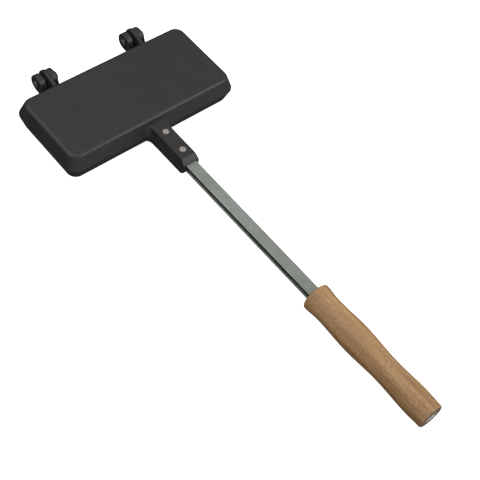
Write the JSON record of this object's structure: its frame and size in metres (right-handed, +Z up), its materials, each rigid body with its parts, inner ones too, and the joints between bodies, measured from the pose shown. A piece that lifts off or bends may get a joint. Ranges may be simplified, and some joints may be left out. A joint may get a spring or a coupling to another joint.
{
  "type": "waffle iron",
  "caption": "Long-handled cast-iron waffle iron: hinged rectangular plates on flat steel bars with a split wooden grip, for use over a fire or gas ring.",
  "frame": {"origin": "centre of the lower plate's flat outer face, which the closed iron rests on", "axes": "+Z up, from the rest face to the upper plate; +Y from the handle towards the hinges; +X along the plates' long side"},
  "size_m": [0.2508, 0.6313, 0.04],
  "materials": {
    "cast_iron": "seasoned, fine sand-cast texture",
    "bar_steel": "zinc-plated, dull",
    "grip_wood": "turned beech, oiled",
    "rivet_steel": "satin",
    "screw_steel": "satin",
    "bolt_steel": "worn bright",
    "black_steel": "blackened"
  },
  "bodies": {
    "lower_half": {"lower_plate": "cast_iron", "lower_bar": "bar_steel", "lower_grip": "grip_wood", "lower_rivet_1": "rivet_steel", "lower_rivet_2": "rivet_steel", "lower_grip_screw_1": "screw_steel", "lower_grip_screw_2": "screw_steel", "hinge_bolt_left": "bolt_steel", "hinge_bolt_right": "bolt_steel", "hinge_nut_left": "black_steel", "hinge_nut_right": "black_steel", "hinge_washer_left": "black_steel", "hinge_washer_right": "black_steel"},
    "upper_half": {"upper_plate": "cast_iron", "upper_bar": "bar_steel", "upper_grip": "grip_wood", "upper_rivet_1": "rivet_steel", "upper_rivet_2": "rivet_steel", "upper_grip_screw_1": "screw_steel", "upper_grip_screw_2": "screw_steel"}
  },
  "joints": [
    {"name": "plate_hinge", "type": "hinge", "parent": "lower_half", "child": "upper_half", "pos_m": [0, 0.081, 0.0225], "axis": [-1, 0, 0], "range_deg": [0, 180]}
  ]
}
